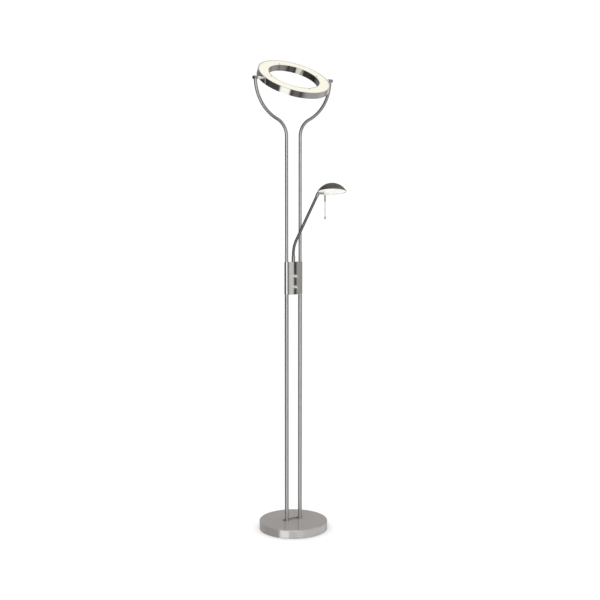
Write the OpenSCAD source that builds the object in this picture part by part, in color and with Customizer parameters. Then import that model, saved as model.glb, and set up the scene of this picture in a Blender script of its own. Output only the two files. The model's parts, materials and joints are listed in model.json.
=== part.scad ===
// Torchiere floor lamp: a round weighted base, twin poles that open into a yoke,
// a tilting ring-shaped uplight, and a reading light on a flexible neck.
// Millimetres. Origin: centre of the underside. +Z up, +X towards the right pole,
// -Y towards the front, where the dimmer knobs are.

/* [Base] */
// Diameter of the round base
base_d = 264; // [250:2:290]
// Height of the base's top face above the floor
base_h = 33.5; // [31:0.5:38]
// Sheet thickness of the spun base cover
cover_wall = 1.4; // [1:0.1:2]
// Radius of the rounded upper edge of the base cover
cover_edge_r = 3; // [1.5:0.5:6]
// Thickness of the cast weight under the cover
weight_t = 14; // [10:1:16]
// Thickness of the soft pad under the base
pad_t = 1.5; // [1:0.5:3]

/* [Poles] */
// Distance between the two pole centres
pole_pitch = 60; // [56:1:64]
// Outside diameter of the lower poles
lower_d = 15; // [14.5:0.1:15.4]
// Outside diameter of the upper poles and of the yoke arms
upper_d = 12; // [11:0.1:12]
// Wall thickness of the upper poles
upper_wall = 1; // [0.8:0.1:1.5]
// Height of the flat bar that joins the poles at the base
foot_bar_h = 4; // [3:0.5:6]

/* [Control housing] */
// Height of the housing's underside above the floor
housing_z = 917; // [900:1:925]
// Height of the housing
housing_h = 124; // [122:1:130]
// Thickness of the plates that close its two ends
end_plate_t = 3; // [2:0.5:3]
// Outside diameter of the sleeves around the poles
sleeve_d = 17.2; // [17:0.1:18]
// Width of the box between the sleeves
box_w = 53; // [50:1:54]
// How far the bulge of the front stands out from the box's front edges
box_bulge = 2.6; // [1.5:0.1:3]
// Wall thickness of the housing
housing_wall = 1.4; // [1.2:0.1:1.6]

/* [Dimmer knobs] */
// Diameter of the knobs
knob_d = 15; // [14.6:0.2:17]
// Length of a knob's cylindrical part
knob_l = 12.6; // [11:0.2:16]
// Height of the knob for the ring light
knob_main_z = 986; // [983:1:989]
// Height of the knob for the reading light
knob_reading_z = 945; // [943:1:949]

/* [Yoke] */
// Height of the pivot that the ring tilts about
pivot_z = 1720; // [1650:5:1800]
// Distance from the middle to each yoke arm at the pivot
yoke_r = 163; // [162:1:170]
// Radius of the bend where the straight poles start to open
yoke_bend_r = 70; // [60:1:80]
// Diameter of the knuckles at the tops of the arms
knuckle_d = 13; // [13:0.5:14]

/* [Ring head] */
// Outside diameter of the ring
ring_d = 277; // [272:1:284]
// Diameter of the ring's hole
ring_hole_d = 192; // [186:1:196]
// Height of the ring's metal wall
ring_h = 23; // [22:1:28]
// Sheet thickness of the ring
ring_wall = 1.5; // [1:0.1:1.6]
// Thickness of the opal diffuser
diffuser_t = 2.5; // [2:0.5:3]
// Angle of the ring from level, with its light face towards the front
ring_tilt = 29.5; // [0:0.5:40]
// Radius of the circle that the diffuser screws lie on
screw_circle_r = 104.5; // [103:0.5:110]
// Light-emitting chips on the ring's board
led_count = 36; // [12:12:48]

/* [Flexible neck] */
// Compass direction of the reading arm, from +X
arm_heading = -31.6; // [-34:0.1:-29]
// Diameter of the flexible neck
neck_d = 11; // [10:0.1:11.2]
// Diameter of the collar on the housing
collar_d = 13.5; // [13:0.5:15]
// Height of the collar
collar_h = 20; // [18:1:22]
// Height above the housing at which the neck starts to bend
neck_bend_start = 30; // [28:1:34]
// Radius of the neck's bend
neck_bend_r = 123; // [115:1:135]
// Angle of the straight part of the neck from the vertical
neck_lean = 25; // [22:1:28]
// Length of the straight part of the neck, to the middle of the elbow
neck_reach = 193; // [190:0.5:205]
// Distance along the straight part to the upper flex point
flex_at = 125; // [110:1:135]

/* [Reading head] */
// Diameter of the domed shade at its rim
shade_d = 109.2; // [108:0.2:112]
// Height of the dome above its rim
shade_h = 31; // [29:1:32]
// Roll of the head about the arm, lifting the front of the rim
head_roll = 12.5; // [0:0.5:20]
// Height of the rim above the stub axis
rim_z = 8.5; // [8.5:0.5:9]
// Distance from the elbow to the middle of the shade
shade_x = 52; // [52:0.5:54]
// Distance from the elbow to the handle rod
rod_x = 26; // [25.5:0.5:26.5]
// Diameter of the clear handle rod
rod_d = 5.2; // [5:0.1:5.4]
// Depth of the handle rod's tip below the stub axis
rod_end = 99; // [95:0.5:110]

/* [Hidden] */
$fn = 96;

// Clearances: between turning faces, round a turning pin, and between loosely fitting pieces
gap = 0.3;
running = 0.05;
play = 0.1;
// Overrun of a cut past a face, and the length of a cut that goes right through thin work
cut = 1;
through = 20;
// How much wider than a rod the ball is that bridges a seam in it
seam = 0.1;
// Colours of the materials
nickel = [0.66, 0.65, 0.63];
nickel_dark = [0.45, 0.44, 0.42];
zinc = [0.75, 0.76, 0.78];
iron = [0.25, 0.25, 0.26];
black_plastic = [0.08, 0.08, 0.08];
opal = [1, 0.98, 0.9];
circuit_green = [0.1, 0.4, 0.2];
phosphor = [0.95, 0.85, 0.3];
copper = [0.75, 0.45, 0.25];

// Poles, from the base up
pole_x = pole_pitch / 2;
lower_bore = upper_d + 2 * play;
pole_z = base_h - cover_wall;
lower_top_z = housing_z + 50;
upper_bottom_z = lower_top_z - 24;
wire_slot_z = [housing_z + 15, housing_z + 29];
wire_slot_w = 6;
mains_lead_d = 5;
ring_lead_d = 3;

// Yoke: the straight pole turns out on one bend and back in on an arc about the ring's middle
yoke_turn = acos((pole_x + yoke_bend_r) / (yoke_r + yoke_bend_r));
yoke_bend_z = pivot_z - (yoke_r + yoke_bend_r) * sin(yoke_turn);

// Base fastening: a hollow threaded nipple through the weight at each pole
nipple_d = 10;
nipple_bore = 6.5;
nipple_hole = 10.6;
nipple_above = 26;
nipple_below = 8;
weight_z = pole_z - weight_t;
weight_d = base_d - 2 * cover_edge_r - 1;
washer_d = 24;
washer_t = 1.5;
base_nut_t = 4;
base_nut_af = 14;
foot_insert_h = 28;
foot_bar_l = pole_pitch + lower_d + 7;
foot_bar_t = 3;
pad_inset = 8;
plate_t = 1;
gland_z = 9.3;
gland_d = 9.2;
gland_bore = 7;
gland_l = 9;
gland_flange_d = 13;
gland_flange_t = 2.4;
gland_inner_flange_z = -5;
gland_inner_flange_t = 2.6;

// Housing
housing_top = housing_z + housing_h;
shell_z = housing_z + end_plate_t;
shell_h = housing_h - 2 * end_plate_t;
box_front = 12.4;
box_back = 8;
front_y = -box_front - box_bulge;
bulge_r = (pow(box_w / 2, 2) + pow(box_bulge, 2)) / (2 * box_bulge);
rear_opening_w = 25;
rear_cover_w = 39;
rear_cover_t = 1.2;
rear_screw_x = 15.5;
rear_opening_inset = 14;
rear_screw_inset = 8;
rear_screw_d = 3;
rear_screw_l = 3;
rear_screw_head_d = 5.6;
rear_screw_head_h = 1.6;

// Dimmers: body, threaded bush through the front, shaft, knob
dimmer_d = 16;
dimmer_clear = 0.5;
dimmer_back_wall = 2;
bush_d = 9;
shaft_d = 6;
board_y = -4.4;
board_t = 1.6;
board_w = 41;
board_inset = 4;
transformer = [18, 8, 22];
transformer_z = 22;
relay = [9, 7, 14];
relay_z = 54;
capacitor_d = 8;
capacitor_h = 16;
capacitor_z = 78;
dimmer_nut_t = 2;
dimmer_nut_af = 11;
knob_back_y = front_y - 0.4;
knob_recess_d = 13.6;
knob_crown_r = 12;
shaft_tip_y = knob_back_y - 10;

// Ring
ring_r = ring_d / 2;
ring_in_r = ring_hole_d / 2;
ring_floor_z = -ring_h / 2 + ring_wall;
ring_board_t = 1.6;
ring_board_r = [ring_in_r + 6, ring_r - 6];
led_size = 5;
led_t = 1;
solder = 0.1;
led_r = (ring_r + ring_in_r) / 2;
diffuser_clear = 0.15;
screw_angles = [85, 175, 265, 355];
standoff_d = 6;
diffuser_screw_d = 3;
diffuser_screw_head_d = 6;
diffuser_screw_head_h = 1.2;
diffuser_screw_tip_z = 2;
pivot_d = 6;
pivot_bore = 3;
spacer_d = 10.4;
knuckle_half = upper_d / 2;
friction_t = 1.2;
pivot_cap_l = 3.6;
pivot_cap_d = 12;
pivot_nut_t = 5;
pivot_nut_af = 10;
pivot_pin_overhang = 1.8;

// Neck: straight, one bend, straight. Ball-and-cup flex points stand in the bend's middle
// and part of the way up the straight.
neck_start_z = housing_top + neck_bend_start;
neck_foot_z = housing_top + collar_h + gap;
neck_bore = 5;
neck_pin_d = 8;
neck_nut_af = 13;
neck_nut_t = 4;
neck_nipple_below = 12;
collar_thread_l = 10;
ball_d = 7.8;
stem_d = 4.8;
flex_wire_d = 3;
flex_relief = 4.3;
flex_low_angle = neck_lean / 2;
relief_angle = flex_relief / neck_bend_r * 180 / PI;
bend_end = [neck_bend_r * (1 - cos(neck_lean)), neck_start_z + neck_bend_r * sin(neck_lean)];
flex_low = [neck_bend_r * (1 - cos(flex_low_angle)), neck_start_z + neck_bend_r * sin(flex_low_angle)];
elbow = [bend_end[0] + neck_reach * sin(neck_lean), bend_end[1] + neck_reach * cos(neck_lean)];
elbow_d = 12;
elbow_sleeve_d = 12.6;
elbow_sleeve_l = 14;
elbow_socket = 5;
stub_d = 8;
stub_pin_d = 7;
stub_pin_l = rod_x + 4;

// Reading head, in its own frame: origin at the elbow, +X along the stub, +Z out of the dome's top
block_d = 12;
block_z = [-6.5, 5.9];
block_stem_d = 8;
stem_screw_d = 3;
stem_screw_head_d = 6;
stem_screw_head_h = 2;
shade_wall = 1.2;
shade_r = shade_d / 2;
shade_sphere_r = (pow(shade_r, 2) + pow(shade_h, 2)) / (2 * shade_h);
shade_centre_z = rim_z + shade_h - shade_sphere_r;
rim_lip = 2;
rim_overlap = 0.2;
glass_d = 103;
glass_z = rim_z - 1.6;
glass_t = 2.5;
tray_z = rim_z + 5;
tray_t = 1.2;
tray_d = 96;
led_board_d = 32;
reading_led_r = 9;
reading_led_size = 4;
sink_d = 36;
sink_plate_t = 3;
sink_fin_h = 10;
sink_fin_t = 1.6;
sink_fins = 7;
sink_edge = 8;
ferrule_d = 6.8;
ferrule_l = 24.5;
rod_socket = 7;
tip_d = 6.4;
tip_l = 10;
tip_socket = 6;

module tube(d, bore, h) {
    difference() {
        cylinder(d = d, h = h);
        translate([0, 0, -cut]) cylinder(d = bore, h = h + 2 * cut);
    }
}

module hex_nut(across_flats, bore, t) {
    difference() {
        cylinder(d = across_flats / cos(30), h = t, $fn = 6);
        translate([0, 0, -cut]) cylinder(d = bore, h = t + 2 * cut);
    }
}

// Ball a hair wider than a rod, which closes the seam where two lengths of the rod meet end to end
module bridge(d) {
    sphere(d = d + seam);
}

// A rod along an arc in the XZ plane, from one angle through a sweep, about a centre [x, z]
module arc_rod(centre, r, d, from, sweep) {
    translate([centre[0], 0, centre[1]]) rotate([90, 0, 0]) rotate([0, 0, from])
        rotate_extrude(angle = sweep) translate([r, 0]) circle(d = d);
}

module both_poles() {
    for (side = [-1, 1]) translate([side * pole_x, 0, 0]) children();
}

// What is drawn for the right-hand side, put on the left
module left_side() {
    mirror([1, 0, 0]) children();
}

// ---------- base ----------

module base_pad() {
    color(iron) cylinder(d = base_d - 2 * pad_inset, h = pad_t);
}

module base_plate() {
    color(zinc) translate([0, 0, pad_t]) cylinder(d = base_d - 2 * cover_wall, h = plate_t);
}

module base_weight() {
    color(iron) difference() {
        translate([0, 0, weight_z]) cylinder(d = weight_d, h = weight_t);
        both_poles() translate([0, 0, weight_z - cut]) cylinder(d = nipple_hole, h = weight_t + 2 * cut);
    }
}

// Outline of a rounded cup, revolved about Z
module cup_outline(r, h, edge) {
    union() {
        square([r, h - edge]);
        square([r - edge, h]);
        translate([r - edge, h - edge]) intersection() {
            circle(r = edge);
            square(edge);
        }
    }
}

module base_cover() {
    color(nickel) difference() {
        translate([0, 0, pad_t]) rotate_extrude() difference() {
            cup_outline(base_d / 2, base_h - pad_t, cover_edge_r);
            translate([0, -cut]) cup_outline(base_d / 2 - cover_wall, base_h - pad_t - cover_wall + cut,
                cover_edge_r - cover_wall);
        }
        both_poles() translate([0, 0, pole_z - cut])
            cylinder(d = lower_d + 2 * play, h = cover_wall + 2 * cut);
        translate([0, base_d / 2 - through / 2, gland_z]) rotate([-90, 0, 0])
            cylinder(d = gland_d + play, h = through);
    }
}

module cord_gland() {
    color(black_plastic) translate([0, base_d / 2, gland_z]) rotate([-90, 0, 0]) difference() {
        union() {
            translate([0, 0, -gland_l]) cylinder(d = gland_d, h = gland_l + cut);
            cylinder(d = gland_flange_d, h = gland_flange_t);
            translate([0, 0, gland_inner_flange_z]) cylinder(d = gland_flange_d, h = gland_inner_flange_t);
        }
        translate([0, 0, -gland_l - cut]) cylinder(d = gland_bore, h = gland_l + gland_flange_t + 2 * cut);
    }
}

module base_nipples() {
    color(zinc) both_poles() translate([0, 0, weight_z - nipple_below])
        tube(nipple_d, nipple_bore, nipple_below + weight_t + nipple_above);
}

module base_washers() {
    color(zinc) both_poles() translate([0, 0, weight_z - washer_t]) tube(washer_d, nipple_d, washer_t);
}

module base_nuts() {
    color(zinc) both_poles() translate([0, 0, weight_z - washer_t - base_nut_t])
        hex_nut(base_nut_af, nipple_d, base_nut_t);
}

module foot_inserts() {
    color(zinc) both_poles() translate([0, 0, pole_z]) tube(lower_bore, nipple_d, foot_insert_h);
}

module foot_bar() {
    color(nickel_dark) translate([-foot_bar_l / 2, lower_d / 2 + play, base_h])
        cube([foot_bar_l, foot_bar_t, foot_bar_h]);
}

// ---------- poles and yoke ----------

// Right-hand lower pole, with a slot for the wires inside the housing
module lower_pole() {
    difference() {
        translate([pole_x, 0, pole_z]) tube(lower_d, lower_bore, lower_top_z - pole_z);
        translate([pole_x - lower_d, -wire_slot_w / 2, wire_slot_z[0]])
            cube([lower_d, wire_slot_w, wire_slot_z[1] - wire_slot_z[0]]);
    }
}

module lower_pole_left() {
    color(nickel) left_side() lower_pole();
}

module lower_pole_right() {
    color(nickel) lower_pole();
}

// A rod of diameter d along the right-hand upper pole and yoke arm
module yoke_line(d, from_z) {
    translate([pole_x, 0, from_z]) cylinder(d = d, h = yoke_bend_z - from_z);
    arc_rod([pole_x + yoke_bend_r, yoke_bend_z], yoke_bend_r, d, 180, -yoke_turn);
    arc_rod([0, pivot_z], yoke_r, d, -yoke_turn, yoke_turn);
    translate([pole_x, 0, yoke_bend_z]) bridge(d);
    translate([yoke_r * cos(yoke_turn), 0, pivot_z - yoke_r * sin(yoke_turn)]) bridge(d);
}

module knuckle_space(d, h) {
    translate([yoke_r - h / 2, 0, pivot_z]) rotate([0, 90, 0]) cylinder(d = d, h = h);
}

module upper_pole() {
    difference() {
        yoke_line(upper_d, upper_bottom_z);
        yoke_line(upper_d - 2 * upper_wall, upper_bottom_z);
        knuckle_space(knuckle_d, 2 * upper_d);
    }
}

module upper_pole_left() {
    color(nickel) left_side() upper_pole();
}

module upper_pole_right() {
    color(nickel) upper_pole();
}

module yoke_knuckle() {
    difference() {
        knuckle_space(knuckle_d, 2 * knuckle_half);
        knuckle_space(pivot_d + 2 * running, 2 * upper_d);
    }
}

module yoke_knuckle_left() {
    color(nickel) left_side() yoke_knuckle();
}

module yoke_knuckle_right() {
    color(nickel) yoke_knuckle();
}

module mains_lead() {
    color(black_plastic) translate([pole_x, 0, weight_z - nipple_below + cut])
        cylinder(d = mains_lead_d, h = wire_slot_z[1] - weight_z);
}

module ring_lead() {
    color(black_plastic) left_side() difference() {
        yoke_line(ring_lead_d, wire_slot_z[0]);
        knuckle_space(knuckle_d, 2 * upper_d);
    }
}

// ---------- control housing ----------

module sleeve_circles(d) {
    for (side = [-1, 1]) translate([side * pole_x, 0]) circle(d = d);
}

// The box between the sleeves with its bulged front, drawn in by an inset all round
module box_outline(inset) {
    half = box_w / 2 - inset;
    translate([-half, -box_front + inset]) square([2 * half, box_front + box_back - 2 * inset]);
    intersection() {
        translate([0, front_y + bulge_r]) circle(r = bulge_r - inset);
        translate([-half, front_y]) square([2 * half, box_bulge + inset + cut / 2]);
    }
}

module housing_outline() {
    sleeve_circles(sleeve_d);
    box_outline(0);
}

module rear_screw_places() {
    low_z = shell_z + rear_screw_inset;
    high_z = shell_z + shell_h - rear_screw_inset;
    for (x = [-rear_screw_x, rear_screw_x], z = [low_z, high_z])
        translate([x, 0, z]) rotate([-90, 0, 0]) children();
}

module housing_shell() {
    color(nickel) difference() {
        translate([0, 0, shell_z]) linear_extrude(shell_h) difference() {
            housing_outline();
            difference() {
                box_outline(housing_wall);
                sleeve_circles(sleeve_d);
            }
            sleeve_circles(lower_d + 2 * running);
        }
        for (z = [knob_main_z, knob_reading_z])
            translate([0, -box_front / 2, z]) rotate([90, 0, 0])
                cylinder(d = bush_d + 2 * play, h = through);
        translate([-box_w / 2, -wire_slot_w / 2, wire_slot_z[0]])
            cube([box_w, wire_slot_w, wire_slot_z[1] - wire_slot_z[0]]);
        translate([-rear_opening_w / 2, box_back - 2 * housing_wall, shell_z + rear_opening_inset])
            cube([rear_opening_w, 4 * housing_wall, shell_h - 2 * rear_opening_inset]);
        rear_screw_places() cylinder(d = rear_screw_d, h = through);
    }
}

module housing_rear_cover() {
    color(nickel) difference() {
        translate([-rear_cover_w / 2, box_back, shell_z + 1])
            cube([rear_cover_w, rear_cover_t, shell_h - 2]);
        rear_screw_places() cylinder(d = rear_screw_d + gap, h = through);
    }
}

module rear_cover_screws() {
    color(zinc) rear_screw_places() {
        translate([0, 0, box_back + rear_cover_t]) cylinder(d = rear_screw_head_d, h = rear_screw_head_h);
        translate([0, 0, box_back - rear_screw_l])
            cylinder(d = rear_screw_d, h = rear_screw_l + rear_cover_t + seam);
    }
}

module housing_top_plate() {
    color(nickel) difference() {
        translate([0, 0, housing_top - end_plate_t]) linear_extrude(end_plate_t) housing_outline();
        both_poles() translate([0, 0, housing_top - 2 * end_plate_t])
            cylinder(d = upper_d + gap, h = 3 * end_plate_t);
        translate([0, 0, housing_top - 2 * end_plate_t])
            cylinder(d = nipple_d + 2 * play, h = 3 * end_plate_t);
    }
}

module housing_bottom_plate() {
    color(nickel) difference() {
        translate([0, 0, housing_z]) linear_extrude(end_plate_t) housing_outline();
        both_poles() translate([0, 0, housing_z - cut])
            cylinder(d = lower_d + 2 * play, h = end_plate_t + 2 * cut);
    }
}

// Points +Z out of the housing's front, at the height of a dimmer
module at_dimmer(z) {
    translate([0, 0, z]) rotate([90, 0, 0]) children();
}

module dimmer_body(z) {
    body_l = -front_y - housing_wall + board_y - dimmer_clear;
    at_dimmer(z) translate([0, 0, -board_y]) difference() {
        union() {
            cylinder(d = dimmer_d, h = body_l);
            cylinder(d = bush_d, h = -front_y + dimmer_nut_t + board_y);
        }
        translate([0, 0, dimmer_back_wall]) cylinder(d = shaft_d + 2 * running, h = 2 * through);
    }
}

module dimmer_main() {
    color(black_plastic) dimmer_body(knob_main_z);
}

module dimmer_reading() {
    color(black_plastic) dimmer_body(knob_reading_z);
}

module dimmer_nuts() {
    color(zinc) for (z = [knob_main_z, knob_reading_z])
        at_dimmer(z) translate([0, 0, -front_y]) hex_nut(dimmer_nut_af, bush_d, dimmer_nut_t);
}

module dimmer_board() {
    color(circuit_green) translate([-board_w / 2, board_y, shell_z + board_inset])
        cube([board_w, board_t, shell_h - rear_opening_inset]);
}

module driver_components() {
    back_y = board_y + board_t;
    capacitor_x = transformer[0] / 2 + 3;
    color(copper) translate([-transformer[0] / 2, back_y, shell_z + transformer_z]) cube(transformer);
    color(black_plastic) {
        translate([-relay[0] - 2, back_y, shell_z + relay_z]) cube(relay);
        for (x = [-capacitor_x, capacitor_x])
            translate([x, back_y + capacitor_d / 2, shell_z + capacitor_z])
                cylinder(d = capacitor_d, h = capacitor_h);
    }
}

// Shaft inside the dimmer, and the knob that it carries
module shaft(z) {
    back_z = -board_y + dimmer_back_wall + gap;
    at_dimmer(z) translate([0, 0, back_z]) cylinder(d = shaft_d, h = -shaft_tip_y - back_z);
}

module knob(z) {
    crown_h = knob_crown_r - sqrt(pow(knob_crown_r, 2) - pow(knob_d / 2, 2));
    at_dimmer(z) difference() {
        union() {
            translate([0, 0, -knob_back_y]) cylinder(d = knob_d, h = knob_l);
            intersection() {
                translate([0, 0, -knob_back_y + knob_l + crown_h - knob_crown_r]) sphere(r = knob_crown_r);
                translate([0, 0, -knob_back_y + knob_l]) cylinder(d = knob_d + 1, h = knob_crown_r);
            }
        }
        translate([0, 0, -knob_back_y - cut]) cylinder(d = knob_recess_d, h = dimmer_nut_t + cut + gap);
        translate([0, 0, -knob_back_y]) cylinder(d = shaft_d, h = knob_back_y - shaft_tip_y);
    }
}

module knob_main() {
    color(nickel) knob(knob_main_z);
}

module knob_reading() {
    color(nickel) knob(knob_reading_z);
}

module shaft_main() {
    color(zinc) shaft(knob_main_z);
}

module shaft_reading() {
    color(zinc) shaft(knob_reading_z);
}

// ---------- ring head ----------

// The ring's own frame: origin on the pivot axis, +Z out of the light face
module ring_frame() {
    translate([0, 0, pivot_z]) rotate([ring_tilt, 0, 0]) children();
}

// Ring of rectangular section
module flat_ring(r_in, r_out, z, h) {
    difference() {
        translate([0, 0, z]) cylinder(r = r_out, h = h);
        translate([0, 0, z - cut]) cylinder(r = r_in, h = h + 2 * cut);
    }
}

// Along X at the pivot, on both sides: children draw the right-hand one along +Z
module both_pivots() {
    for (turn = [90, -90]) translate([0, 0, pivot_z]) rotate([0, turn, 0]) children();
}

module screw_places() {
    for (a = screw_angles) rotate([0, 0, -a]) translate([screw_circle_r, 0, 0]) children();
}

module ring_channel() {
    color(nickel) difference() {
        ring_frame() difference() {
            flat_ring(ring_in_r, ring_r, -ring_h / 2, ring_h);
            flat_ring(ring_in_r + ring_wall, ring_r - ring_wall, ring_floor_z, ring_h);
        }
        both_pivots() translate([0, 0, ring_r - through / 2]) cylinder(d = pivot_d + 2 * play, h = through);
    }
}

module ring_diffuser() {
    color(opal) ring_frame() difference() {
        flat_ring(ring_in_r + ring_wall + diffuser_clear, ring_r - ring_wall - diffuser_clear,
            ring_h / 2 - diffuser_t, diffuser_t);
        screw_places() cylinder(d = diffuser_screw_d + gap, h = ring_h);
    }
}

module ring_led_board() {
    ring_frame() {
        color(zinc) difference() {
            flat_ring(ring_board_r[0], ring_board_r[1], ring_floor_z, ring_board_t);
            screw_places() translate([0, 0, ring_floor_z - cut]) cylinder(d = standoff_d + 1, h = through);
        }
        color(phosphor) for (n = [0 : led_count - 1]) rotate([0, 0, (n + 0.5) * 360 / led_count])
            translate([led_r - led_size / 2, -led_size / 2, ring_floor_z + ring_board_t - solder])
                cube([led_size, led_size, led_t]);
    }
}

module ring_standoffs() {
    color(zinc) ring_frame() screw_places() difference() {
        translate([0, 0, ring_floor_z])
            cylinder(d = standoff_d, h = ring_h / 2 - diffuser_t - ring_floor_z);
        translate([0, 0, diffuser_screw_tip_z - cut]) cylinder(d = diffuser_screw_d, h = ring_h);
    }
}

module diffuser_screws() {
    color(zinc) ring_frame() screw_places() {
        translate([0, 0, ring_h / 2]) cylinder(d = diffuser_screw_head_d, h = diffuser_screw_head_h);
        translate([0, 0, diffuser_screw_tip_z])
            cylinder(d = diffuser_screw_d, h = ring_h / 2 - diffuser_screw_tip_z + seam);
    }
}

module pivot_pins() {
    pin_from = ring_r - ring_wall - pivot_nut_t - pivot_pin_overhang - cut;
    color(zinc) both_pivots() translate([0, 0, pin_from])
        tube(pivot_d, pivot_bore, yoke_r + knuckle_half + pivot_pin_overhang - pin_from);
}

module pivot_nuts() {
    color(zinc) both_pivots() translate([0, 0, ring_r - ring_wall - pivot_nut_t - cut / 2])
        hex_nut(pivot_nut_af, pivot_d, pivot_nut_t);
}

module pivot_spacers() {
    color(nickel) both_pivots() translate([0, 0, ring_r])
        tube(spacer_d, pivot_d, yoke_r - knuckle_half - friction_t - gap - ring_r);
}

module friction_washers() {
    color(black_plastic) both_pivots() translate([0, 0, yoke_r - knuckle_half - friction_t - gap])
        tube(pivot_cap_d, pivot_d, friction_t);
}

module pivot_caps() {
    color(nickel_dark) both_pivots() translate([0, 0, yoke_r + knuckle_half + gap]) difference() {
        cylinder(d = pivot_cap_d, h = pivot_cap_l);
        translate([0, 0, -cut]) cylinder(d = pivot_d, h = cut + pivot_pin_overhang - gap);
    }
}

// ---------- flexible neck ----------

// The upright plane of the reading arm: +X is the way that it leans
module arm_plane() {
    rotate([0, 0, arm_heading]) children();
}

// Along the neck at a point [x, z] in its plane, leaning by an angle
module on_neck(place, lean) {
    translate([place[0], 0, place[1]]) rotate([0, lean, 0]) children();
}

module neck_nipple() {
    color(zinc) translate([0, 0, housing_top - neck_nipple_below])
        tube(nipple_d, nipple_bore, neck_nipple_below + collar_thread_l);
}

module neck_nut() {
    color(zinc) translate([0, 0, housing_top - end_plate_t - neck_nut_t])
        hex_nut(neck_nut_af, nipple_d, neck_nut_t);
}

module neck_collar() {
    color(nickel) translate([0, 0, housing_top]) difference() {
        cylinder(d = collar_d, h = collar_h);
        translate([0, 0, -cut]) cylinder(d = nipple_d, h = collar_thread_l + cut);
        cylinder(d = neck_pin_d + 2 * running, h = collar_h + cut);
    }
}

// Ball on a short stem, at the end of the neck piece below a flex point
module flex_ball() {
    difference() {
        union() {
            sphere(d = ball_d);
            translate([0, 0, -flex_relief - cut / 2]) cylinder(d = stem_d, h = flex_relief);
        }
        translate([0, 0, -through / 2]) cylinder(d = flex_wire_d, h = through);
    }
}

module neck_lower() {
    pin_z = housing_top + collar_thread_l + gap;
    color(nickel_dark) arm_plane() union() {
        difference() {
            union() {
                translate([0, 0, pin_z]) cylinder(d = neck_pin_d, h = neck_foot_z - pin_z + cut);
                translate([0, 0, neck_foot_z]) cylinder(d = neck_d, h = neck_start_z - neck_foot_z);
                arc_rod([neck_bend_r, neck_start_z], neck_bend_r, neck_d, 180,
                    relief_angle - flex_low_angle);
            }
            translate([0, 0, pin_z - cut]) cylinder(d = neck_bore, h = neck_start_z - pin_z);
        }
        on_neck(flex_low, flex_low_angle) flex_ball();
    }
}

module neck_middle() {
    color(nickel_dark) arm_plane() union() {
        difference() {
            union() {
                arc_rod([neck_bend_r, neck_start_z], neck_bend_r, neck_d, 180 - flex_low_angle,
                    flex_low_angle - neck_lean);
                on_neck(bend_end, neck_lean) cylinder(d = neck_d, h = flex_at - flex_relief);
                on_neck(bend_end, neck_lean) bridge(neck_d);
            }
            on_neck(flex_low, flex_low_angle) sphere(d = ball_d + 2 * running);
            on_neck(bend_end, neck_lean) translate([0, 0, flex_relief])
                cylinder(d = neck_bore, h = flex_at - 3 * flex_relief);
        }
        on_neck(bend_end, neck_lean) translate([0, 0, flex_at]) flex_ball();
    }
}

module neck_upper() {
    neck_upper_l = neck_reach - flex_at - elbow_sleeve_l + elbow_socket;
    color(nickel_dark) arm_plane() on_neck(bend_end, neck_lean) difference() {
        translate([0, 0, flex_at]) cylinder(d = neck_d, h = neck_upper_l);
        translate([0, 0, flex_at]) sphere(d = ball_d + 2 * running);
        translate([0, 0, flex_at]) cylinder(d = neck_bore, h = neck_reach);
    }
}

module neck_elbow() {
    color(nickel) arm_plane() difference() {
        union() {
            on_neck(elbow, 0) sphere(d = elbow_d);
            on_neck(elbow, neck_lean) translate([0, 0, -elbow_sleeve_l])
                cylinder(d = elbow_sleeve_d, h = elbow_sleeve_l);
            on_neck(elbow, 90) cylinder(d = stub_d, h = rod_x - block_d / 2 - gap);
            on_neck(elbow, 90) cylinder(d = stub_pin_d, h = stub_pin_l);
        }
        on_neck(elbow, neck_lean) translate([0, 0, -elbow_sleeve_l - cut])
            cylinder(d = neck_d, h = elbow_socket + cut);
        on_neck(elbow, neck_lean) translate([0, 0, -elbow_sleeve_l])
            cylinder(d = neck_bore, h = elbow_sleeve_l);
        on_neck(elbow, 90) cylinder(d = flex_wire_d, h = stub_pin_l + cut);
    }
}

// ---------- reading head ----------

module head_frame() {
    arm_plane() translate([elbow[0], 0, elbow[1]]) rotate([-head_roll, 0, 0]) children();
}

module hinge_block() {
    color(nickel) head_frame() difference() {
        union() {
            translate([rod_x, 0, block_z[0]]) cylinder(d = block_d, h = block_z[1] - block_z[0]);
            translate([rod_x, 0, 0]) cylinder(d = block_stem_d, h = tray_z);
        }
        rotate([0, 90, 0]) cylinder(d = stub_pin_d + 2 * running, h = stub_pin_l + gap);
        translate([rod_x, 0, block_z[1]]) cylinder(d = stem_screw_d, h = tray_z);
    }
}

module stem_screw() {
    color(zinc) head_frame() translate([rod_x, 0, 0]) {
        translate([0, 0, block_z[1] + cut]) cylinder(d = stem_screw_d, h = tray_z + tray_t - block_z[1]);
        translate([0, 0, tray_z + tray_t]) cylinder(d = stem_screw_head_d, h = stem_screw_head_h);
    }
}

module dome_shade() {
    below_rim = 2 * shade_sphere_r;
    color(nickel) head_frame() translate([shade_x, 0, 0]) union() {
        difference() {
            translate([0, 0, shade_centre_z]) sphere(r = shade_sphere_r);
            translate([0, 0, shade_centre_z]) sphere(r = shade_sphere_r - shade_wall);
            translate([0, 0, rim_z - below_rim]) cylinder(r = below_rim, h = below_rim);
        }
        flat_ring(shade_r - shade_wall - rim_overlap, shade_r, rim_z - rim_lip, rim_lip + rim_overlap);
    }
}

module retaining_ring() {
    color(zinc) head_frame() translate([shade_x, 0, 0])
        flat_ring(glass_d / 2, shade_r - shade_wall - gap, glass_z, rim_lip - rim_overlap);
}

module cover_glass() {
    color(opal) head_frame() difference() {
        translate([shade_x, 0, glass_z]) cylinder(d = glass_d, h = glass_t);
        translate([rod_x, 0, glass_z - cut]) cylinder(d = block_stem_d + 4 * play, h = glass_t + 2 * cut);
    }
}

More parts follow.
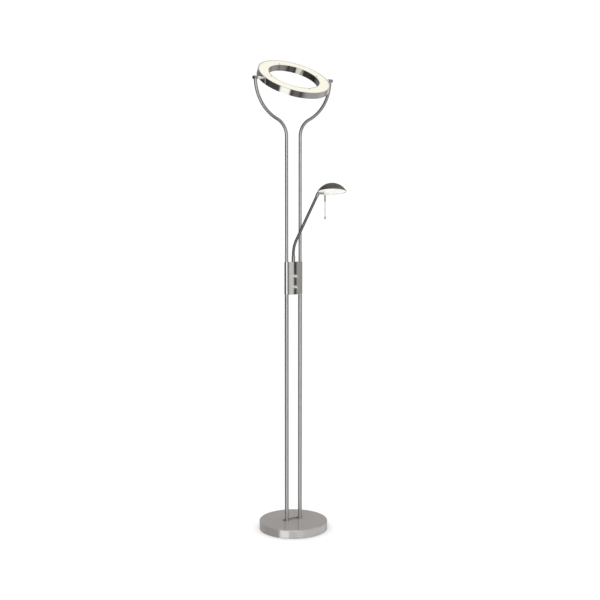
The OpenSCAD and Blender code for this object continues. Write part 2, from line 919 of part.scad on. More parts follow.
module reflector_tray() {
    color(opal) head_frame() difference() {
        translate([shade_x, 0, tray_z]) cylinder(d = tray_d, h = tray_t);
        translate([rod_x, 0, tray_z - cut]) cylinder(d = stem_screw_d + gap, h = tray_t + 2 * cut);
    }
}

module reading_led_board() {
    half = reading_led_size / 2;
    color(circuit_green) head_frame() translate([shade_x, 0, tray_z - ring_board_t])
        cylinder(d = led_board_d, h = ring_board_t);
    color(phosphor) head_frame() translate([shade_x, 0, tray_z - ring_board_t - led_t + solder])
        for (a = [0 : 60 : 300])
            translate([reading_led_r * cos(a) - half, reading_led_r * sin(a) - half])
                cube([reading_led_size, reading_led_size, led_t]);
}

module heat_sink() {
    fin_pitch = (sink_d - sink_edge) / (sink_fins - 1);
    color(zinc) head_frame() translate([shade_x, 0, tray_z + tray_t]) {
        cylinder(d = sink_d, h = sink_plate_t);
        for (n = [0 : sink_fins - 1]) {
            y = (n - (sink_fins - 1) / 2) * fin_pitch;
            half_l = sqrt(pow(sink_d / 2, 2) - pow(abs(y) + sink_fin_t / 2, 2)) - cut / 2;
            translate([-half_l, y - sink_fin_t / 2, sink_plate_t])
                cube([2 * half_l, sink_fin_t, sink_fin_h]);
        }
    }
}

module rod_ferrule() {
    color(nickel_dark) head_frame() translate([rod_x, 0, block_z[0] - ferrule_l]) difference() {
        cylinder(d = ferrule_d, h = ferrule_l);
        translate([0, 0, -cut]) cylinder(d = rod_d, h = rod_socket + cut);
    }
}

module handle_rod() {
    rod_top = block_z[0] - ferrule_l + rod_socket;
    rod_bottom = -rod_end + tip_l - tip_socket;
    color(opal) head_frame() translate([rod_x, 0, rod_bottom])
        cylinder(d = rod_d, h = rod_top - rod_bottom);
}

module rod_tip() {
    color(nickel) head_frame() translate([rod_x, 0, -rod_end]) difference() {
        union() {
            translate([0, 0, tip_d / 2]) cylinder(d = tip_d, h = tip_l - tip_d / 2);
            translate([0, 0, tip_d / 2]) sphere(d = tip_d);
        }
        translate([0, 0, tip_l - tip_socket]) cylinder(d = rod_d, h = tip_socket + cut);
    }
}

base_pad();
base_plate();
base_weight();
base_cover();
cord_gland();
base_nipples();
base_nuts();
base_washers();
foot_inserts();
foot_bar();
lower_pole_left();
lower_pole_right();
upper_pole_left();
upper_pole_right();
yoke_knuckle_left();
yoke_knuckle_right();
mains_lead();
ring_lead();
housing_shell();
housing_rear_cover();
rear_cover_screws();
housing_top_plate();
housing_bottom_plate();
dimmer_main();
dimmer_reading();
dimmer_nuts();
dimmer_board();
driver_components();
knob_main();
knob_reading();
shaft_main();
shaft_reading();
ring_channel();
ring_diffuser();
ring_led_board();
ring_standoffs();
diffuser_screws();
pivot_pins();
pivot_spacers();
friction_washers();
pivot_caps();
pivot_nuts();
neck_nipple();
neck_nut();
neck_collar();
neck_lower();
neck_middle();
neck_upper();
neck_elbow();
hinge_block();
stem_screw();
dome_shade();
retaining_ring();
cover_glass();
reflector_tray();
reading_led_board();
heat_sink();
rod_ferrule();
handle_rod();
rod_tip();
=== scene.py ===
"""Looks of the torchiere floor lamp: camera, studio light, a material for every CAD node,
and the ribbed skins of its flexible neck. Metres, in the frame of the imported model."""

import json
import math

import bpy
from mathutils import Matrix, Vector


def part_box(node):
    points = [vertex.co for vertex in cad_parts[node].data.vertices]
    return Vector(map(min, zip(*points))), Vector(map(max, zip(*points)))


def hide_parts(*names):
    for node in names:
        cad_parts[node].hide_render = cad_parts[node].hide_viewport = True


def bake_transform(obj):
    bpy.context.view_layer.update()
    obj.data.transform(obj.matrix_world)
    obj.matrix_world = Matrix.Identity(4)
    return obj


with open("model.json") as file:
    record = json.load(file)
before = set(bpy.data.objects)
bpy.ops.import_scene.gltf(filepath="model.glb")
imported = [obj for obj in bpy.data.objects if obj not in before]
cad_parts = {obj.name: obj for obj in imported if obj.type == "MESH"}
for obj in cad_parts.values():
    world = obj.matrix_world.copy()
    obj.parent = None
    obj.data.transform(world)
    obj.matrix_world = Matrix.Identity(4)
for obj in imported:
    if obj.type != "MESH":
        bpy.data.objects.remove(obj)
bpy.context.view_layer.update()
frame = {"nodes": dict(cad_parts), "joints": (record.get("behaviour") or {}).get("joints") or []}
nodes = frame["nodes"]
joints = {j["name"]: j for j in frame["joints"]}

# Camera: how far it stands to the left of straight ahead, its distance from the lamp's axis, its
# height, how far it tilts down, its lens in millimetres, and its shift sideways and upwards
CAMERA_AZIMUTH = math.radians(31.96)
CAMERA_DISTANCE = 4.152
CAMERA_HEIGHT = 1.39
CAMERA_TILT = math.radians(6.81)
CAMERA_LENS = 65.97
CAMERA_SHIFT = (0.011, 0.0)

# Studio: how bright the plain light is, and the floor's radius and number of sides
SOFT_LIGHT = 1.05
FLOOR_RADIUS = 14.0
FLOOR_SIDES = 96

# Ring light: its tilt at rest about the X axis through the pivot, the radius inside which its metal is the
# inner wall, with painted shade there, the radii between which its panel is bright, with painted shade
# outside them, and the width of the fade at each
RING_TILT = math.radians(29.5)
PIVOT = Vector(joints["ring_tilt"]["pos_m"])
INNER_WALL_SHADE_RADIUS = 0.1
LIT_RADII = (0.098, 0.135)
EDGE_FADE = 0.004

# Worn metal: the share of brush lines in its marks, the size of the handling marks that make up the
# rest (as a noise scale), and what its roughness is multiplied by where it is smoothest and roughest
BRUSH_SHARE = 0.55
HANDLING_SCALE = 14
SMOOTHEST = 0.82
ROUGHEST = 1.2

# Flexible neck: outside radius, radius of its bend, and how far its end goes into the elbow's sleeve
NECK_RADIUS = 0.0055
NECK_BEND_RADIUS = 0.123
SLEEVE_OVERLAP = 0.002

# Its ribs: pitch, depth and roundness (the less, the sharper the grooves between them), then the
# points for each pitch along the neck, the points round it, and the steps that find a flex point
RIB_PITCH = 0.0022
RIB_DEPTH = 0.00045
RIB_ROUNDNESS = 0.7
SAMPLES_PER_RIB = 8
NECK_SIDES = 32
NECK_STEPS = 400

# Share of the shortest free length beside a flex point: the points that far to either side of it are found
# but not used
BEND_SHARE = 0.9

# Sockets of a Mix node that mixes colours
MIX_SHARE = 0
MIX_FIRST = 6
MIX_SECOND = 7
MIX_RESULT = 2


# ---------- camera and light ----------


def add_camera():
    """The camera of the main view, at the height of the upper poles, tilted a little down."""
    data = bpy.data.cameras.new("camera")
    data.lens = CAMERA_LENS
    data.shift_x, data.shift_y = CAMERA_SHIFT
    camera = bpy.data.objects.new("camera", data)
    bpy.context.scene.collection.objects.link(camera)
    toward = Vector((-math.sin(CAMERA_AZIMUTH), -math.cos(CAMERA_AZIMUTH), 0))
    camera.location = toward * CAMERA_DISTANCE + Vector((0, 0, CAMERA_HEIGHT))
    camera.rotation_euler = (math.pi / 2 - CAMERA_TILT, 0, -CAMERA_AZIMUTH)
    bpy.context.scene.camera = camera


# What metal mirrors: zones one above the other. Each has its lower end (as the sine of the
# elevation), the width of the soft edge below that, and its cards as (degrees to the right of the
# camera, brightness), with an even change from each to the next
STUDIO_ZONES = [
    (-1.0, 0.0, [(-180, 0.5), (-160, 0.4), (-146, 0.2), (-118, 0.12), (-102, 0.04), (-50, 0.02),
                 (-46, 1.6), (-16, 1.6), (-13, 0.06), (-3, 0.1), (3, 0.2), (24, 0.2), (28, 0.1), (38, 0.1),
                 (44, 0.28), (62, 0.5), (130, 0.56), (155, 0.45), (180, 0.5)]),
    (-0.45, 0.08, [(-180, 0.9), (-168, 0.8), (-158, 0.3), (-122, 0.2), (-102, 0.09), (-50, 0.08),
                   (-44, 1.35), (-17, 1.35), (-13, 0.6), (8, 0.64), (14, 0.8), (32, 0.8), (40, 0.6),
                   (90, 0.58), (130, 0.65), (150, 0.3), (165, 0.8), (180, 0.9)]),
    (-0.13, 0.07, [(-180, 1.0), (-172, 0.9), (-162, 0.3), (-126, 0.22), (-108, 0.04), (-64, 0.06),
                   (-60, 0.25), (-16, 0.25), (-11, 2.2), (16, 2.2), (22, 0.08), (35, 0.1), (40, 0.78),
                   (56, 0.8), (59, 0.06), (67, 0.06), (70, 0.43), (100, 0.4), (148, 0.35), (163, 0.9),
                   (180, 1.0)]),
    (0.27, 0.1, [(-180, 0.27), (-166, 0.26), (-150, 0.15), (-100, 0.08), (-60, 0.08), (-38, 0.45),
                 (0, 0.75), (40, 0.75), (70, 0.5), (130, 0.4), (152, 0.2), (167, 0.26), (180, 0.27)]),
    (0.95, 0.2, [(-180, 0.26), (180, 0.26)]),
]


def add_world():
    """Even white light on everything, with panels of light and dark card that only metal mirrors."""
    world = bpy.data.worlds.new("studio")
    bpy.context.scene.world = world
    world.use_nodes = True
    tree = world.node_tree
    tree.nodes.clear()
    link = tree.links.new

    def node(kind, **settings):
        made = tree.nodes.new(kind)
        for key, value in settings.items():
            setattr(made, key, value)
        return made

    # Each direction as the sine of its elevation, and as its place round the lamp: 0 and 1 are behind
    # it as the main view sees it, 0.5 is towards the camera
    turn = node("ShaderNodeVectorRotate", rotation_type="Z_AXIS")
    turn.inputs["Angle"].default_value = CAMERA_AZIMUTH
    link(node("ShaderNodeTexCoord").outputs["Generated"], turn.inputs["Vector"])
    split = node("ShaderNodeSeparateXYZ")
    link(turn.outputs[0], split.inputs[0])
    elevation = split.outputs["Z"]
    towards = node("ShaderNodeMath", operation="MULTIPLY")
    towards.inputs[1].default_value = -1
    link(split.outputs["Y"], towards.inputs[0])
    angle = node("ShaderNodeMath", operation="ARCTAN2")
    link(split.outputs["X"], angle.inputs[0])
    link(towards.outputs[0], angle.inputs[1])
    place = node("ShaderNodeMapRange")
    place.inputs["From Min"].default_value = -math.pi
    place.inputs["From Max"].default_value = math.pi
    link(angle.outputs[0], place.inputs["Value"])

    def ring_of_cards(stops):
        """Cards all round the lamp at one height."""
        ramp = node("ShaderNodeValToRGB")
        link(place.outputs[0], ramp.inputs[0])
        elements = ramp.color_ramp.elements
        for index, (degrees, value) in enumerate(stops):
            at = (degrees + 180) / 360
            stop = elements[index] if index < 2 else elements.new(at)
            stop.position = at
            stop.color = (value, value, value, 1)
        return ramp.outputs["Color"]

    def fade(low, high, first, second):
        """first where the sine of the elevation is low, second where it is high."""
        share = node("ShaderNodeMapRange", interpolation_type="SMOOTHSTEP")
        share.inputs["From Min"].default_value = low
        share.inputs["From Max"].default_value = high
        link(elevation, share.inputs["Value"])
        mix = node("ShaderNodeMix", data_type="RGBA")
        link(share.outputs[0], mix.inputs[MIX_SHARE])
        link(first, mix.inputs[MIX_FIRST])
        link(second, mix.inputs[MIX_SECOND])
        return mix.outputs[MIX_RESULT]

    mirrored = None
    for start, edge, stops in STUDIO_ZONES:
        zone = ring_of_cards(stops)
        mirrored = zone if mirrored is None else fade(start - edge, start, mirrored, zone)

    cards = node("ShaderNodeBackground")
    link(mirrored, cards.inputs["Color"])
    plain = node("ShaderNodeBackground")
    plain.inputs["Color"].default_value = (1, 1, 1, 1)
    plain.inputs["Strength"].default_value = SOFT_LIGHT
    ray = node("ShaderNodeLightPath")
    on_metal = node("ShaderNodeMath", operation="SUBTRACT", use_clamp=True)
    link(ray.outputs["Is Glossy Ray"], on_metal.inputs[0])
    link(ray.outputs["Is Transmission Ray"], on_metal.inputs[1])
    choose = node("ShaderNodeMixShader")
    link(on_metal.outputs[0], choose.inputs[0])
    link(plain.outputs[0], choose.inputs[1])
    link(cards.outputs[0], choose.inputs[2])
    link(choose.outputs[0], node("ShaderNodeOutputWorld").inputs["Surface"])


def add_softbox(name, size, watts, place, target):
    """A square soft lamp that points at a place. Metal mirrors the cards instead of it."""
    data = bpy.data.lights.new(name, "AREA")
    data.shape = "SQUARE"
    data.size = size
    data.energy = watts
    lamp = bpy.data.objects.new(name, data)
    bpy.context.scene.collection.objects.link(lamp)
    lamp.location = place
    lamp.rotation_euler = (Vector(target) - Vector(place)).to_track_quat("-Z", "Y").to_euler()
    lamp.visible_glossy = False
    lamp.visible_camera = False


def add_floor():
    """A plain pale floor, so wide that its far edge runs into the background."""
    angles = [2 * math.pi * i / FLOOR_SIDES for i in range(FLOOR_SIDES)]
    rim = [(FLOOR_RADIUS * math.cos(a), FLOOR_RADIUS * math.sin(a), 0) for a in angles]
    mesh = bpy.data.meshes.new("floor")
    mesh.from_pydata(rim, [], [tuple(range(FLOOR_SIDES))])
    floor = bpy.data.objects.new("floor", mesh)
    bpy.context.scene.collection.objects.link(floor)
    finish = Finish("studio_floor", {"Roughness": 0.9, "Specular IOR Level": 0.0})
    finish.colour(finish.noise(finish.position(), 3, 2), (0.955, 0.955, 0.955), (0.965, 0.965, 0.965))
    mesh.materials.append(finish.material)
    floor.visible_glossy = False


# ---------- materials ----------


class Finish:
    """A material under construction, on a Principled shader. Most methods add nodes and give back
    their output socket; paint, colour, rough and bump finish at the shader."""

    def __init__(self, name, settings):
        self.material = bpy.data.materials.new(name)
        self.material.use_nodes = True
        self.tree = self.material.node_tree
        self.shader = self.tree.nodes["Principled BSDF"]
        for key, value in settings.items():
            self.shader.inputs[key].default_value = value

    def node(self, kind, **settings):
        made = self.tree.nodes.new(kind)
        for key, value in settings.items():
            setattr(made, key, value)
        return made

    def calculate(self, operation, first, second=0.0):
        """A sum on numbers or sockets."""
        made = self.node("ShaderNodeMath", operation=operation)
        for socket, value in zip(made.inputs, (first, second)):
            if isinstance(value, (int, float)):
                socket.default_value = value
            else:
                self.tree.links.new(value, socket)
        return made.outputs[0]

    def position(self):
        """The point in the lamp's own frame, at rest."""
        return self.node("ShaderNodeTexCoord").outputs["Object"]

    def uv(self):
        """The place on a skin's own map: round it, then along it."""
        return self.node("ShaderNodeTexCoord").outputs["UV"]

    def stretch(self, vector, scale):
        made = self.node("ShaderNodeVectorMath", operation="MULTIPLY")
        made.inputs[1].default_value = scale
        self.tree.links.new(vector, made.inputs[0])
        return made.outputs[0]

    def from_axis(self, centre, turn=(0, 0, 0)):
        """(distance from an axis, place along it, angle round it), for an axis along Z through
        centre, turned by Euler angles."""
        mapping = self.node("ShaderNodeMapping", vector_type="TEXTURE")
        mapping.inputs["Location"].default_value = centre
        mapping.inputs["Rotation"].default_value = turn
        self.tree.links.new(self.position(), mapping.inputs["Vector"])
        split = self.node("ShaderNodeSeparateXYZ")
        self.tree.links.new(mapping.outputs[0], split.inputs[0])
        x, y, z = split.outputs
        squares = [self.calculate("MULTIPLY", value, value) for value in (x, y)]
        distance = self.calculate("SQRT", self.calculate("ADD", *squares))
        found = (distance, z, self.calculate("ARCTAN2", y, x))
        joined = self.node("ShaderNodeCombineXYZ")
        for socket, value in zip(joined.inputs, found):
            self.tree.links.new(value, socket)
        return joined.outputs[0]

    def part(self, vector, axis):
        """One of a vector's three numbers, called X, Y or Z."""
        made = self.node("ShaderNodeSeparateXYZ")
        self.tree.links.new(vector, made.inputs[0])
        return made.outputs[axis]

    def noise(self, vector, scale, detail=3.0, roughness=0.5):
        made = self.node("ShaderNodeTexNoise")
        made.inputs["Scale"].default_value = scale
        made.inputs["Detail"].default_value = detail
        made.inputs["Roughness"].default_value = roughness
        self.tree.links.new(vector, made.inputs["Vector"])
        return made.outputs["Fac"]

    def spread(self, value, low, high, from_low=0.3, from_high=0.7):
        """value, from from_low to from_high, spread over low to high. Noise is mostly from 0.3 to 0.7."""
        made = self.node("ShaderNodeMapRange")
        made.inputs["From Min"].default_value = from_low
        made.inputs["From Max"].default_value = from_high
        made.inputs["To Min"].default_value = low
        made.inputs["To Max"].default_value = high
        self.tree.links.new(value, made.inputs["Value"])
        return made.outputs[0]

    def mixed(self, share, first, second):
        """A colour between first and second, each a colour or a socket."""
        made = self.node("ShaderNodeMix", data_type="RGBA")
        self.tree.links.new(share, made.inputs[MIX_SHARE])
        for place, value in ((MIX_FIRST, first), (MIX_SECOND, second)):
            if isinstance(value, tuple):
                made.inputs[place].default_value = (*value, 1)
            else:
                self.tree.links.new(value, made.inputs[place])
        return made.outputs[MIX_RESULT]

    def paint(self, colour):
        self.tree.links.new(colour, self.shader.inputs["Base Color"])

    def colour(self, noise, first, second):
        """Paints the base colour between first and second, as a noise has it."""
        self.paint(self.mixed(self.spread(noise, 0, 1), first, second))

    def rough(self, noise, low, high):
        """Varies the roughness between low and high, as a noise has it."""
        self.tree.links.new(self.spread(noise, low, high), self.shader.inputs["Roughness"])

    def bump(self, height, depth):
        """Raises the surface by up to depth metres where height is 1."""
        made = self.node("ShaderNodeBump")
        made.inputs["Distance"].default_value = depth
        made.inputs["Strength"].default_value = 1.0
        self.tree.links.new(height, made.inputs["Height"])
        self.tree.links.new(made.outputs[0], self.shader.inputs["Normal"])


def shade_of(colour, factor):
    return tuple(min(1.0, c * factor) for c in colour)


def worn_metal(name, colour, roughness, lines, line_depth=0.00001, tone=0.06):
    """Metal with fine brush lines and faint handling marks, whose colour varies by the share tone.
    lines(finish) gives the vector whose noise draws the lines: one unit of it is about one line."""
    finish = Finish(name, {"Metallic": 1.0})
    brush = finish.noise(lines(finish), scale=1.0, detail=4.0, roughness=0.65)
    handling = finish.noise(finish.position(), HANDLING_SCALE, detail=4.0, roughness=0.6)
    brush_part = finish.calculate("MULTIPLY", brush, BRUSH_SHARE)
    handling_part = finish.calculate("MULTIPLY", handling, 1 - BRUSH_SHARE)
    both = finish.calculate("ADD", brush_part, handling_part)
    finish.colour(both, shade_of(colour, 1 - tone), shade_of(colour, 1 + tone))
    finish.rough(both, roughness * SMOOTHEST, roughness * ROUGHEST)
    finish.bump(brush, line_depth)
    return finish


def along_pole(finish):
    """Lines that run up and down."""
    return finish.stretch(finish.position(), (2600, 2600, 14))


def round_base(finish):
    """Lines that run round the base's middle."""
    return finish.stretch(finish.from_axis((0, 0, 0)), (1800, 1800, 5))


def round_ring(finish):
    """Lines that run round the ring."""
    return finish.stretch(finish.from_axis(PIVOT, (RING_TILT, 0, 0)), (1800, 1800, 5))


def no_lines(finish):
    """A fine even grain."""
    return finish.stretch(finish.position(), (900, 900, 900))


def pole_nickel():
    """Brushed nickel of the poles and the knuckles."""
    return worn_metal("pole_nickel", (0.52, 0.51, 0.497), 0.3, along_pole).material


def base_nickel():
    """Satin nickel under a matt lacquer, which gives the base its even grey."""
    finish = worn_metal("base_nickel", (0.56, 0.535, 0.515), 0.15, round_base)
    finish.shader.inputs["Metallic"].default_value = 0.6
    return finish.material


def ring_nickel():
    """The ring's nickel, with painted shade on the inner wall: its colour is darker there, as that wall
    sees less light.
    """
    finish = worn_metal("ring_nickel", (0.6, 0.585, 0.56), 0.11, round_ring)
    outer_colour = finish.shader.inputs["Base Color"].links[0].from_socket
    radius = finish.part(finish.from_axis(PIVOT, (RING_TILT, 0, 0)), "X")
    outer = finish.spread(radius, 0, 1, INNER_WALL_SHADE_RADIUS, INNER_WALL_SHADE_RADIUS + EDGE_FADE)
    # Painted shade: the inner wall's metal gets a darker colour than the outer wall's
    finish.paint(finish.mixed(outer, (0.42, 0.41, 0.38), outer_colour))
    return finish.material


def dome_nickel():
    """Darker nickel of the reading arm's shade, elbow and collar."""
    return worn_metal("dome_nickel", (0.36, 0.35, 0.33), 0.22, no_lines).material


def housing_nickel():
    """Nickel of the housing, polished until its brush lines hardly show."""
    finish = worn_metal("housing_nickel", (0.66, 0.65, 0.62), 0.1, along_pole, line_depth=0.000004)
    return finish.material


def polished_nickel():
    """Bright nickel of the small turned pieces."""
    return worn_metal("polished_nickel", (0.7, 0.69, 0.67), 0.1, no_lines,
                      line_depth=0.000004, tone=0.03).material


def pale_chrome_and_painted_glow():
    """Pearl chrome: pale, with a soft matt share. On the hinge block the pale colour is a painted
    reflection of the glowing cover glass beside it.
    """
    finish = worn_metal("pale_chrome_and_painted_glow", (0.86, 0.86, 0.85), 0.3, no_lines,
                        line_depth=0.000006, tone=0.02)
    finish.shader.inputs["Metallic"].default_value = 0.35
    return finish.material


def dark_bar():
    """Dull dark metal of the bar across the poles' feet."""
    return worn_metal("dark_bar", (0.38, 0.365, 0.35), 0.3, no_lines).material


def hose_steel():
    """Dark satin steel of the wound neck, with a fine grain."""
    finish = Finish("hose_steel", {"Metallic": 1.0})
    grain = finish.noise(finish.stretch(finish.uv(), (220, 900, 1)), 1.0, 3.0)
    finish.colour(grain, (0.17, 0.166, 0.16), (0.25, 0.245, 0.235))
    finish.rough(grain, 0.16, 0.28)
    finish.bump(grain, 0.00001)
    return finish.material


def zinc_steel():
    """Zinc plate: a faint crystal pattern, bluish."""
    finish = Finish("zinc_steel", {"Metallic": 1.0})
    crystals = finish.node("ShaderNodeTexVoronoi")
    crystals.inputs["Scale"].default_value = 320
    finish.tree.links.new(finish.position(), crystals.inputs["Vector"])
    share = crystals.outputs["Distance"]
    finish.colour(share, (0.66, 0.67, 0.69), (0.78, 0.79, 0.8))
    finish.rough(share, 0.24, 0.42)
    finish.bump(finish.noise(finish.position(), 1400), 0.00001)
    return finish.material


def cast_iron():
    """Rough cast iron of the base's weight."""
    finish = Finish("cast_iron", {"Metallic": 0.6, "Specular IOR Level": 0.3})
    sand = finish.noise(finish.position(), 700, 5.0, 0.7)
    finish.colour(finish.noise(finish.position(), 60, 4.0), (0.07, 0.07, 0.072), (0.16, 0.155, 0.15))
    finish.rough(sand, 0.6, 0.85)
    finish.bump(sand, 0.0003)
    return finish.material


def moulded(name, dark, light, roughness, grain_size, grain_depth):
    """Moulded plastic or rubber, with an even grain of a size and a depth in metres."""
    finish = Finish(name, {"Specular IOR Level": 0.4})
    grain = finish.noise(finish.position(), 1 / grain_size, 3.0, 0.6)
    finish.colour(finish.noise(finish.position(), 90, 3.0), dark, light)
    finish.rough(grain, roughness - 0.08, roughness + 0.08)
    finish.bump(grain, grain_depth)
    return finish.material


def pad_rubber():
    """Matt foam rubber under the base."""
    return moulded("pad_rubber", (0.028, 0.028, 0.03), (0.05, 0.05, 0.052), roughness=0.85,
                   grain_size=0.0009, grain_depth=0.00015)


def black_plastic():
    """Satin black plastic of the gland, the dimmers, the washers and the caps."""
    return moulded("black_plastic", (0.02, 0.02, 0.022), (0.04, 0.04, 0.042), roughness=0.45,
                   grain_size=0.0004, grain_depth=0.00003)


def lead_insulation():
    """Smooth dark insulation of the leads."""
    return moulded("lead_insulation", (0.04, 0.04, 0.042), (0.07, 0.07, 0.072), roughness=0.4,
                   grain_size=0.0012, grain_depth=0.00003)


def circuit_board():
    """Green solder mask with faint copper tracks under it."""
    finish = Finish("circuit_board", {"Coat Weight": 0.4, "Coat Roughness": 0.15})
    tracks = finish.node("ShaderNodeTexBrick")
    tracks.inputs["Scale"].default_value = 180
    tracks.inputs["Mortar Size"].default_value = 0.06
    tracks.inputs["Color1"].default_value = (0.02, 0.17, 0.07, 1)
    tracks.inputs["Color2"].default_value = (0.025, 0.2, 0.085, 1)
    tracks.inputs["Mortar"].default_value = (0.05, 0.3, 0.12, 1)
    finish.tree.links.new(finish.position(), tracks.inputs["Vector"])
    finish.paint(tracks.outputs["Color"])
    finish.rough(finish.noise(finish.position(), 500), 0.3, 0.45)
    finish.bump(tracks.outputs["Fac"], 0.00005)
    return finish.material


def milled_aluminium():
    """Bare aluminium of the light-emitting boards and the heat sink."""
    return worn_metal("milled_aluminium", (0.8, 0.8, 0.8), 0.34, no_lines).material


def opal_acrylic():
    """The ring's light panel: opal acrylic lit from behind, with painted shade along its two edges, where
    its colour is darker.
    """
    finish = Finish("opal_acrylic", {
        "IOR": 1.49,
        "Emission Color": (1.0, 0.955, 0.8, 1),
        "Emission Strength": 0.45,
    })
    cloud = finish.noise(finish.position(), 35, 3.0)
    radius = finish.part(finish.from_axis(PIVOT, (RING_TILT, 0, 0)), "X")
    inner, outer = LIT_RADII
    from_hole = finish.spread(radius, 0, 1, inner, inner + EDGE_FADE)
    from_rim = finish.spread(radius, 1, 0, outer - EDGE_FADE, outer)
    inside = finish.calculate("MULTIPLY", from_hole, from_rim)
    face = finish.mixed(cloud, (0.44, 0.43, 0.37), (0.5, 0.49, 0.43))
    # Painted shade: the colour is darker near the hole and the rim, outside the bright radii
    finish.paint(finish.mixed(inside, (0.2, 0.19, 0.19), face))
    finish.rough(cloud, 0.35, 0.5)
    finish.bump(finish.noise(finish.position(), 900, 2.0), 0.00002)
    return finish.material


def frosted_glass():
    """The reading light's cover: frosted glass lit from behind."""
    finish = Finish("frosted_glass", {
        "IOR": 1.5,
        "Emission Color": (1.0, 0.97, 0.9, 1),
        "Emission Strength": 0.5,
    })
    prisms = finish.noise(finish.position(), 420, 2.0, 0.4)
    finish.colour(finish.noise(finish.position(), 60, 3.0), (0.3, 0.29, 0.28), (0.6, 0.59, 0.56))
    finish.rough(prisms, 0.3, 0.5)
    finish.bump(prisms, 0.0003)
    return finish.material


def clear_acrylic():
    """The handle's clear rod, with fine drawing lines along it."""
    finish = Finish("clear_acrylic", {"Transmission Weight": 1.0, "IOR": 1.49})
    drawn = finish.noise(finish.stretch(finish.position(), (1500, 1500, 30)), 1.0, 3.0)
    finish.colour(drawn, (0.56, 0.57, 0.56), (0.64, 0.65, 0.64))
    finish.rough(drawn, 0.03, 0.09)
    finish.bump(drawn, 0.000008)
    return finish.material


def white_enamel():
    """Baked white enamel with a slight orange-peel surface."""
    finish = Finish("white_enamel", {"Coat Weight": 0.5, "Coat Roughness": 0.1})
    peel = finish.noise(finish.position(), 260, 2.0)
    finish.colour(peel, (0.82, 0.81, 0.77), (0.88, 0.87, 0.83))
    finish.rough(peel, 0.28, 0.4)
    finish.bump(peel, 0.00008)
    return finish.material


# The nodes that each material is for
FINISHES = {
    pole_nickel: ["lower_pole_left", "lower_pole_right", "upper_pole_left", "upper_pole_right",
                  "yoke_knuckle_left", "yoke_knuckle_right"],
    base_nickel: ["base_cover"],
    ring_nickel: ["ring_channel"],
    dome_nickel: ["dome_shade", "neck_elbow", "neck_collar"],
    housing_nickel: ["housing_shell", "housing_rear_cover", "housing_top_plate", "housing_bottom_plate"],
    polished_nickel: ["knob_main", "knob_reading", "rod_ferrule", "rod_tip"],
    # Painted reflection: the hinge block is pale to stand in for the glow of the cover glass it mirrors
    pale_chrome_and_painted_glow: ["hinge_block", "pivot_spacers"],
    dark_bar: ["foot_bar"],
    hose_steel: ["neck_lower", "neck_middle", "neck_upper"],
    zinc_steel: ["base_plate", "base_nipples", "base_nuts", "base_washers", "foot_inserts",
                 "rear_cover_screws", "dimmer_nuts", "shaft_main", "shaft_reading", "ring_standoffs",
                 "diffuser_screws", "pivot_pins", "pivot_nuts", "neck_nipple", "neck_nut", "stem_screw",
                 "retaining_ring"],
    cast_iron: ["base_weight"],
    pad_rubber: ["base_pad"],
    black_plastic: ["cord_gland", "dimmer_main", "dimmer_reading", "friction_washers", "pivot_caps"],
    lead_insulation: ["mains_lead", "ring_lead"],
    circuit_board: ["dimmer_board", "driver_components"],
    milled_aluminium: ["ring_led_board", "reading_led_board", "heat_sink"],
    opal_acrylic: ["ring_diffuser"],
    frosted_glass: ["cover_glass"],
    clear_acrylic: ["handle_rod"],
    white_enamel: ["reflector_tray"],
}


def paint_nodes():
    """Gives each CAD node its material. Returns the materials by function."""
    made = {}
    for finish, names in FINISHES.items():
        made[finish] = finish()
        for name in names:
            mesh = nodes[name].data
            mesh.materials.clear()
            mesh.materials.append(made[finish])
    return made


# ---------- flexible neck ----------


def neck_line():
    """The neck's middle line from the collar to the elbow, at rest: returns its length and a
    function from a distance along it to (point, direction). It runs upright, bends, and runs on
    straight at the lean."""
    elbow = Vector(joints["head_roll"]["pos_m"])
    flex = Vector(joints["neck_bend_high"]["pos_m"])
    lean_way = (elbow - flex).normalized()
    lean = math.acos(lean_way.z)
    out = Vector((lean_way.x, lean_way.y, 0)).normalized()
    corner = elbow - lean_way * (Vector((elbow.x, elbow.y, 0)).length / math.sin(lean))
    tangent = NECK_BEND_RADIUS * math.tan(lean / 2)
    foot = Vector((0, 0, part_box("neck_collar")[1].z))
    bend_start = corner - Vector((0, 0, tangent))
    bend_end = corner + lean_way * tangent
    upright_l = (bend_start - foot).length
    bend_l = NECK_BEND_RADIUS * lean
    total = upright_l + bend_l + (elbow - bend_end).length - sleeve_length(elbow, lean_way)

    def at(distance):
        if distance < upright_l:
            return foot + Vector((0, 0, distance)), Vector((0, 0, 1))
        if distance < upright_l + bend_l:
            angle = (distance - upright_l) / NECK_BEND_RADIUS
            point = bend_start + out * (NECK_BEND_RADIUS * (1 - math.cos(angle)))
            point += Vector((0, 0, NECK_BEND_RADIUS * math.sin(angle)))
            return point, out * math.sin(angle) + Vector((0, 0, math.cos(angle)))
        return bend_end + lean_way * (distance - upright_l - bend_l), lean_way

    return total, at


def sleeve_length(elbow, lean_way):
    """How far short of the elbow's middle the neck ends, just inside the elbow's sleeve."""
    along = [(Vector(v.co) - elbow).dot(lean_way) for v in nodes["neck_elbow"].data.vertices]
    return -min(along) - SLEEVE_OVERLAP


def rib(phase):
    """How far the surface lies in from the outside at a phase of a rib: round wire, sharp groove."""
    return RIB_DEPTH * (1 - abs(math.cos(math.pi * phase)) ** RIB_ROUNDNESS)


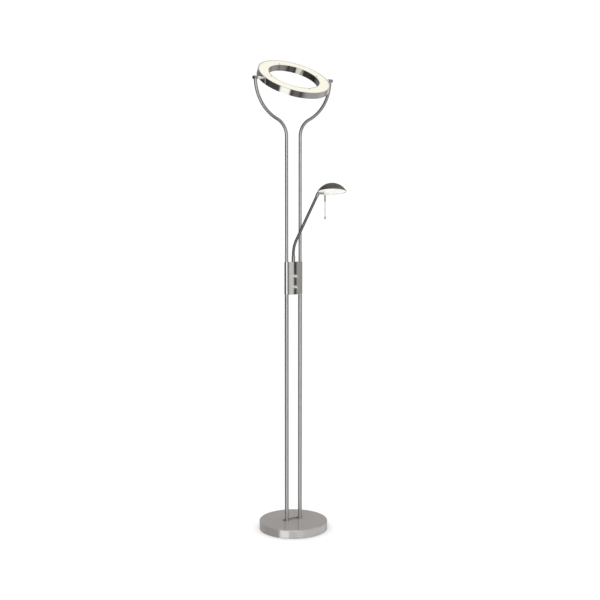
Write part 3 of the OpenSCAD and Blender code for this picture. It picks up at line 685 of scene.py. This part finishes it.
def hose_skin(name, at, start, end):
    """A closed tube along part of the neck's line, with its ribs in one long spiral."""
    side = Vector(joints["neck_bend_high"]["axis"]).normalized()
    rings = max(2, round((end - start) / RIB_PITCH * SAMPLES_PER_RIB))
    points, faces, places = [], [], []
    for i in range(rings + 1):
        distance = start + (end - start) * i / rings
        point, along = at(distance)
        across = along.cross(side)
        for k in range(NECK_SIDES):
            angle = 2 * math.pi * k / NECK_SIDES
            radius = NECK_RADIUS - rib(distance / RIB_PITCH - k / NECK_SIDES)
            points.append(point + (side * math.cos(angle) + across * math.sin(angle)) * radius)
    for i in range(rings):
        for k in range(NECK_SIDES):
            low, high = i * NECK_SIDES, (i + 1) * NECK_SIDES
            after = (k + 1) % NECK_SIDES
            faces.append((low + k, low + after, high + after, high + k))
            u, v = k / NECK_SIDES, i / rings
            du, dv = 1 / NECK_SIDES, 1 / rings
            places += [(u, v), (u + du, v), (u + du, v + dv), (u, v + dv)]
    faces.append(tuple(reversed(range(NECK_SIDES))))
    faces.append(tuple(rings * NECK_SIDES + k for k in range(NECK_SIDES)))
    places += [(0.5, 0.0)] * NECK_SIDES + [(0.5, 1.0)] * NECK_SIDES
    mesh = bpy.data.meshes.new(name)
    mesh.from_pydata(points, [], faces)
    layer = mesh.uv_layers.new(name="along_neck")
    for loop, place in zip(layer.data, places):
        loop.uv = place
    mesh.shade_smooth()
    skin = bpy.data.objects.new(name, mesh)
    bpy.context.scene.collection.objects.link(skin)
    return skin


def add_neck_skins(material):
    """The neck's wound hose, in two pieces that meet halfway between its two flex points."""
    length, at = neck_line()
    distances = [length * i / NECK_STEPS for i in range(NECK_STEPS + 1)]

    def distance_to(joint):
        point = Vector(joints[joint]["pos_m"])
        return min(distances, key=lambda distance: (at(distance)[0] - point).length)

    low = distance_to("neck_bend_low")
    high = distance_to("neck_bend_high")
    middle = (low + high) / 2
    reach = BEND_SHARE * min(low, middle - low, high - middle, length - high)
    for name, start, end, flex, bodies, replaced in (
        ("hose_lower", 0.0, middle, low, ("neck_base", "neck_mid"), ("neck_lower", "neck_middle")),
        ("hose_upper", middle, length, high, ("neck_mid", "neck_top"), ("neck_upper",)),
    ):
        skin = hose_skin(name, at, start, end)
        skin.data.materials.append(material)
        tuple(at(flex - reach)[0])
        tuple(at(flex + reach)[0])
        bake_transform(skin)
        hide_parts(*replaced)


# ---------- the scene ----------

add_camera()
add_world()
add_softbox("key_light", size=1.6, watts=30, place=(-2.2, -2.4, 3.0), target=(0, 0, 1.0))
add_floor()
materials = paint_nodes()
add_neck_skins(materials[hose_steel])
bpy.context.scene.view_settings.view_transform = "Standard"
